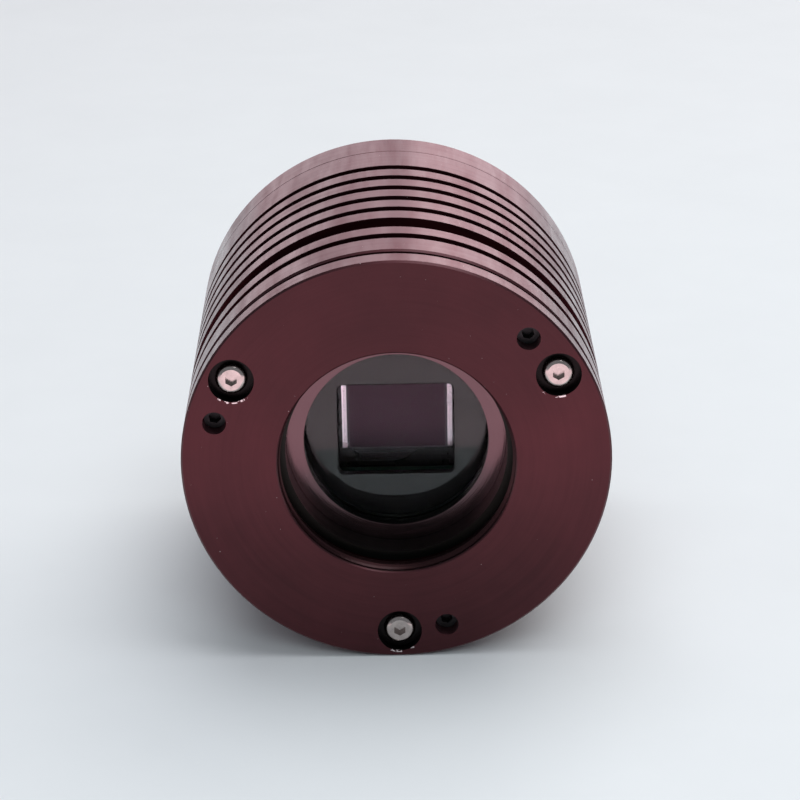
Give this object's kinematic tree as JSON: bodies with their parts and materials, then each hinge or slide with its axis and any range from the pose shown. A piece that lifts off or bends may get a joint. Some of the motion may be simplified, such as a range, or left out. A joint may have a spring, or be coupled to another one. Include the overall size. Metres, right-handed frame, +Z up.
{
  "type": "cooled astronomy camera",
  "caption": "Cylindrical finned astronomy camera with a threaded tilt plate, a shuttered and cooled image sensor behind a window, and a fan in the rear cover.",
  "frame": {"origin": "centre of the front face, on the optical axis, at the mouth of the telescope thread", "axes": "+Y along the optical axis into the camera, +Z up with the camera lying on its side, +X to the right as seen from the front"},
  "size_m": [0.076, 0.0713, 0.076],
  "materials": {
    "maroon_anodised": "turned, burgundy anodised",
    "screw_steel": "satin stainless",
    "black_steel": "black oxide",
    "bare_steel": "plain",
    "seal_rubber": "matt black",
    "window": "anti-reflection coated",
    "aperture_black": "polished black anodised",
    "blade_black": "matt black",
    "bare_aluminium": "machined",
    "ceramic": "ceramic",
    "silicon": "mirror-smooth silicon",
    "bond_gold": "plated",
    "circuit_board": "green solder mask",
    "pellet": "grey semiconductor",
    "nylon": "natural nylon",
    "foam": "closed-cell foam",
    "black_plastic": "moulded",
    "desiccant": "porous",
    "light_pipe": "clear, frosted end"
  },
  "bodies": {
    "front_plate": {"front_tilt_plate": "maroon_anodised", "tilt_lock_screws": "screw_steel"},
    "tilt_seal": {"tilt_seal": "seal_rubber"},
    "camera": {"front_housing": "maroon_anodised", "window_retainer": "maroon_anodised", "heat_sink_body": "maroon_anodised", "rear_cover": "maroon_anodised", "tilt_push_screws": "black_steel", "rear_cover_screws": "black_steel", "fan_screws": "black_steel", "sensor_board_screws": "black_steel", "main_board_screws": "black_steel", "shutter_pivot_pin": "bare_steel", "shutter_motor": "bare_steel", "usb_shell": "bare_steel", "power_socket_pin": "bare_steel", "window_seal": "seal_rubber", "housing_seal": "seal_rubber", "window_glass": "window", "sensor_cover_glass": "window", "aperture_plate": "aperture_black", "motor_bracket": "bare_aluminium", "cold_finger": "bare_aluminium", "sensor_package": "ceramic", "peltier_cold_plate": "ceramic", "peltier_hot_plate": "ceramic", "sensor_die": "silicon", "bond_ledges": "bond_gold", "sensor_pins": "bond_gold", "feedthrough_pins": "bond_gold", "fan_bearing": "bond_gold", "sensor_board": "circuit_board", "main_board": "circuit_board", "peltier_elements": "pellet", "sensor_board_standoffs": "nylon", "insulation_frame": "foam", "fan_frame": "black_plastic", "usb_tongue": "black_plastic", "power_socket": "black_plastic", "logic_chips": "black_plastic", "feedthrough_block": "black_plastic", "desiccant_capsule": "desiccant", "status_light": "light_pipe"},
    "shutter_upper": {"shutter_blade_upper": "blade_black", "motor_shaft": "bare_steel"},
    "shutter_lower": {"shutter_blade_lower": "blade_black"},
    "fan_wheel": {"fan_rotor": "black_plastic", "fan_shaft": "bare_steel"}
  },
  "joints": [
    {"name": "tip", "type": "hinge", "parent": "front_plate", "child": "tilt_seal", "pos_m": [0, 0.00507, 0], "axis": [1, 0, 0], "range_deg": [-0.75, 0.75]},
    {"name": "tilt", "type": "hinge", "parent": "tilt_seal", "child": "camera", "pos_m": [0, 0.00507, 0], "axis": [0, 0, 1], "range_deg": [-0.75, 0.75]},
    {"name": "shutter_upper_swing", "type": "hinge", "parent": "camera", "child": "shutter_upper", "pos_m": [-0.027, 0.0185, 0.003], "axis": [0, 1, 0], "range_deg": [0, 36]},
    {"name": "shutter_lower_swing", "type": "hinge", "parent": "camera", "child": "shutter_lower", "pos_m": [-0.027, 0.019, -0.003], "axis": [0, 1, 0], "range_deg": [-36, 0]},
    {"name": "fan_spin", "type": "hinge", "parent": "camera", "child": "fan_wheel", "pos_m": [0, 0.063, 0.005], "axis": [0, 1, 0], "continuous": true}
  ],
  "couplings": [
    {"joint": "shutter_lower_swing", "follows": "shutter_upper_swing", "ratio": -1}
  ]
}
